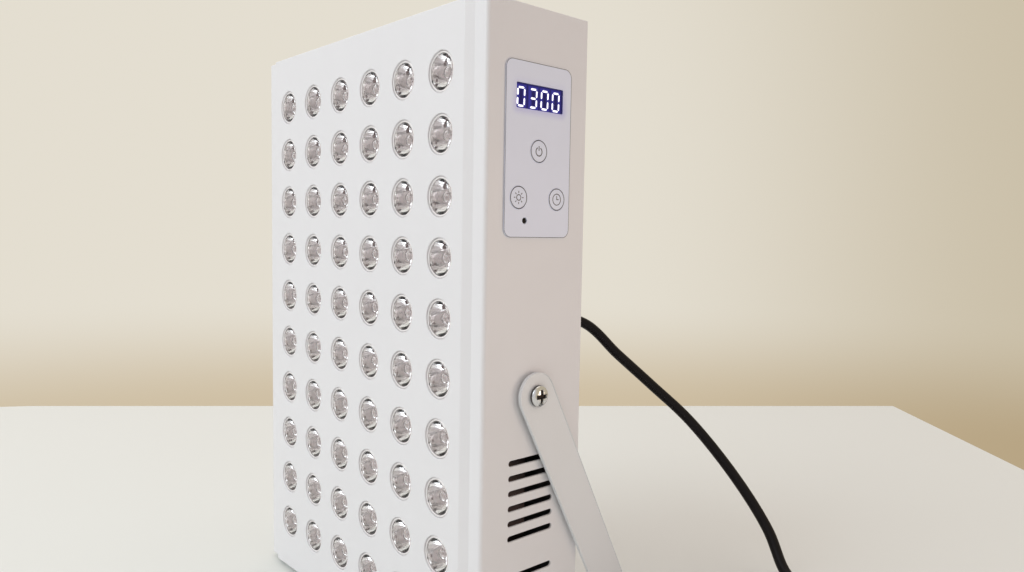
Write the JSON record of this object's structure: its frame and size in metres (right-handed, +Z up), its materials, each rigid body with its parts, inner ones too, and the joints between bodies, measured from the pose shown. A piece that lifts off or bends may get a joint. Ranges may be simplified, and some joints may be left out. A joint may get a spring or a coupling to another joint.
{
  "type": "light therapy panel",
  "caption": "Table-top LED light panel in a folded steel housing with lensed emitters, side controls, cooling fans, a tilting stand and a mains cord.",
  "frame": {"origin": "centre of the bounding box's bottom, on the table, measured without the cord; the housing's middle is 23 mm in front of it", "axes": "+X to the right seen from the front, +Y to the back, +Z up; the lenses face -Y"},
  "size_m": [0.3939, 0.2248, 0.3125],
  "materials": {
    "coating": "white powder coat, fine satin texture",
    "lens": "clear moulded acrylic",
    "board": "white solder resist on an aluminium board",
    "aluminium": "extruded, satin",
    "driver": "brushed case",
    "fan": "black moulded plastic",
    "guard": "black enamel",
    "steel": "nickel-plated, shiny",
    "film": "pale printed film, satin",
    "window": "dark violet clear plastic, polished",
    "circuit": "green solder resist",
    "module": "black moulded plastic",
    "rubber": "black, matte",
    "nylon": "natural nylon",
    "brass": "bare brass",
    "cord": "black PVC, slight sheen"
  },
  "bodies": {
    "housing": {"front_shell": "coating", "rear_cover": "coating", "lens_row_01": "lens", "lens_row_02": "lens", "lens_row_03": "lens", "lens_row_04": "lens", "lens_row_05": "lens", "lens_row_06": "lens", "lens_row_07": "lens", "lens_row_08": "lens", "lens_row_09": "lens", "lens_row_10": "lens", "led_board": "board", "heat_sink": "aluminium", "led_driver_lower": "driver", "led_driver_upper": "driver", "fan_frame_lower": "fan", "fan_frame_upper": "fan", "fan_guard_lower": "guard", "fan_guard_upper": "guard", "mains_harness": "rubber", "led_harness": "rubber", "control_lead": "rubber", "control_overlay": "film", "display_window": "window", "switch_power": "module", "switch_mode": "module", "switch_time": "module", "ir_receiver": "module", "display_module": "module", "control_board": "circuit", "power_inlet": "module", "cord_connector": "cord", "power_cord": "cord", "cord_coil": "cord", "cord_tie": "rubber", "power_plug": "cord", "plug_blade_left": "brass", "plug_blade_right": "brass", "plug_ground_pin": "brass", "pivot_screw_left": "steel", "pivot_screw_right": "steel", "pivot_washer_left": "nylon", "pivot_washer_right": "nylon", "foot_1": "rubber", "foot_2": "rubber", "foot_3": "rubber", "foot_4": "rubber", "cover_screw_1": "steel", "cover_screw_2": "steel", "cover_screw_3": "steel", "cover_screw_4": "steel"},
    "stand": {"stand_bracket": "coating", "stand_pad_left": "rubber", "stand_pad_right": "rubber"},
    "power_button": {"key_power": "film"},
    "mode_button": {"key_mode": "film"},
    "time_button": {"key_time": "film"},
    "lower_rotor": {"fan_rotor_lower": "fan"},
    "upper_rotor": {"fan_rotor_upper": "fan"}
  },
  "joints": [
    {"name": "stand_tilt", "type": "hinge", "parent": "housing", "child": "stand", "pos_m": [0, -0.02229, 0.137], "axis": [1, 0, 0], "range_deg": [-186, 50]},
    {"name": "power_press", "type": "slide", "parent": "housing", "child": "power_button", "axis": [-1, 0, 0], "range_m": [0, 0.0003], "stiffness_N_per_m": 800, "springref_m": -0.001},
    {"name": "mode_press", "type": "slide", "parent": "housing", "child": "mode_button", "axis": [-1, 0, 0], "range_m": [0, 0.0003], "stiffness_N_per_m": 800, "springref_m": -0.001},
    {"name": "time_press", "type": "slide", "parent": "housing", "child": "time_button", "axis": [-1, 0, 0], "range_m": [0, 0.0003], "stiffness_N_per_m": 800, "springref_m": -0.001},
    {"name": "lower_fan_spin", "type": "hinge", "parent": "housing", "child": "lower_rotor", "pos_m": [0, -0.00299, 0.0795], "axis": [0, 1, 0], "continuous": true},
    {"name": "upper_fan_spin", "type": "hinge", "parent": "housing", "child": "upper_rotor", "pos_m": [0, -0.00299, 0.2415], "axis": [0, 1, 0], "continuous": true}
  ]
}
